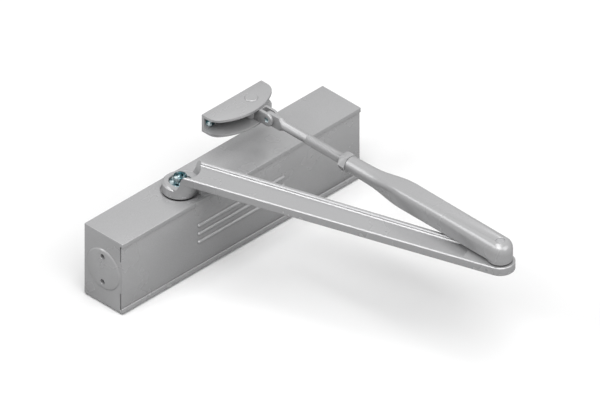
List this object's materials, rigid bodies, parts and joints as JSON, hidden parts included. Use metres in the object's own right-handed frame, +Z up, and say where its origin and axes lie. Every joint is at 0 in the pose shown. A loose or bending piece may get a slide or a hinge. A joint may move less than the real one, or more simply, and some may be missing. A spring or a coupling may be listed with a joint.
{
  "type": "overhead door closer",
  "caption": "Surface-mounted overhead door closer with a rack and pinion, a wound closing spring, speed valves and a jointed arm that ends in a frame bracket.",
  "frame": {"origin": "centre of the four fixing holes, on the casting's flat back face", "axes": "+X along the casting towards the spring end, +Y out of the back face into the door, +Z up along the spindle"},
  "size_m": [0.248, 0.2803, 0.1024],
  "materials": {
    "silver_paint": "satin silver-grey stoved paint with a fine metallic grain",
    "zinc_plate": "bright zinc plate with a faint blue tint",
    "gear_steel": "ground and oiled steel",
    "spring_steel": "shot-peened spring wire",
    "bronze": "sintered bronze",
    "seal_rubber": "matt black nitrile rubber",
    "grey_plastic": "matt silver-grey moulded plastic",
    "black_plastic": "matt black moulded plastic"
  },
  "bodies": {
    "casting": {"body_casting": "silver_paint", "end_plug_left": "silver_paint", "end_plug_right": "silver_paint", "end_plug_seals": "seal_rubber", "upper_bearing": "bronze", "lower_bearing": "bronze", "upper_bearing_nut": "gear_steel", "lower_bearing_nut": "gear_steel", "spindle_seals": "seal_rubber", "main_spring": "spring_steel", "valve_seals": "seal_rubber"},
    "cover": {"front_cover": "silver_paint"},
    "cap": {"spindle_cap": "grey_plastic"},
    "closing_valve": {"closing_speed_valve": "zinc_plate"},
    "latch_valve": {"latch_speed_valve": "zinc_plate"},
    "piston": {"rack_piston": "gear_steel", "piston_seal": "seal_rubber", "check_valve_ball": "gear_steel", "check_valve_retainer": "bronze"},
    "arm": {"main_arm": "silver_paint", "pinion_spindle": "gear_steel", "arm_screw": "zinc_plate", "arm_washer": "zinc_plate", "elbow_bush": "bronze"},
    "forearm": {"forearm": "silver_paint", "elbow_pin": "gear_steel", "elbow_washer": "black_plastic"},
    "nut": {"lock_nut": "silver_paint"},
    "rod": {"adjusting_rod": "silver_paint"},
    "fork": {"swivel_fork": "silver_paint", "clevis_pin": "zinc_plate"},
    "bracket": {"frame_bracket": "silver_paint", "pivot_pin": "silver_paint", "bracket_screws": "zinc_plate"}
  },
  "joints": [
    {"name": "spindle_turn", "type": "hinge", "parent": "casting", "child": "arm", "pos_m": [-0.0438, -0.01975, 0], "axis": [0, 0, 1], "range_deg": [0, 180], "stiffness_Nm_per_rad": 3.4, "springref_deg": -28.65},
    {"name": "piston_slide", "type": "slide", "parent": "casting", "child": "piston", "axis": [1, 0, 0], "range_m": [0, 0.0275], "deforming": ["main_spring"]},
    {"name": "elbow", "type": "hinge", "parent": "arm", "child": "forearm", "pos_m": [0.03723, -0.26912, 0.06], "axis": [0, 0, -1], "range_deg": [-5, 150]},
    {"name": "rod_length", "type": "slide", "parent": "forearm", "child": "rod", "axis": [0, 1, 0], "range_m": [-0.008, 0.012]},
    {"name": "lock_nut_turn", "type": "hinge", "parent": "forearm", "child": "nut", "pos_m": [0.03723, -0.11, 0.06115], "axis": [0, 1, 0], "continuous": true},
    {"name": "clevis_tilt", "type": "hinge", "parent": "rod", "child": "fork", "pos_m": [0.03723, -0.03202, 0.06115], "axis": [1, 0, 0], "range_deg": [-10, 10]},
    {"name": "bracket_swivel", "type": "hinge", "parent": "fork", "child": "bracket", "pos_m": [0.03723, -0.01222, 0.06115], "axis": [0, 0, 1], "range_deg": [-75, 42]},
    {"name": "closing_valve_turn", "type": "hinge", "parent": "casting", "child": "closing_valve", "pos_m": [-0.075, -0.03, -0.022], "axis": [0, 1, 0], "range_deg": [-360, 360]},
    {"name": "latch_valve_turn", "type": "hinge", "parent": "casting", "child": "latch_valve", "pos_m": [-0.011, -0.03, -0.022], "axis": [0, 1, 0], "range_deg": [-360, 360]},
    {"name": "cover_removal", "type": "slide", "parent": "casting", "child": "cover", "axis": [0, -1, 0], "range_m": [0, 0.03]},
    {"name": "cap_removal", "type": "slide", "parent": "casting", "child": "cap", "axis": [0, 0, -1], "range_m": [0, 0.015]}
  ],
  "couplings": [
    {"joint": "piston_slide", "follows": "spindle_turn", "m_per_rad": 0.00875}
  ]
}
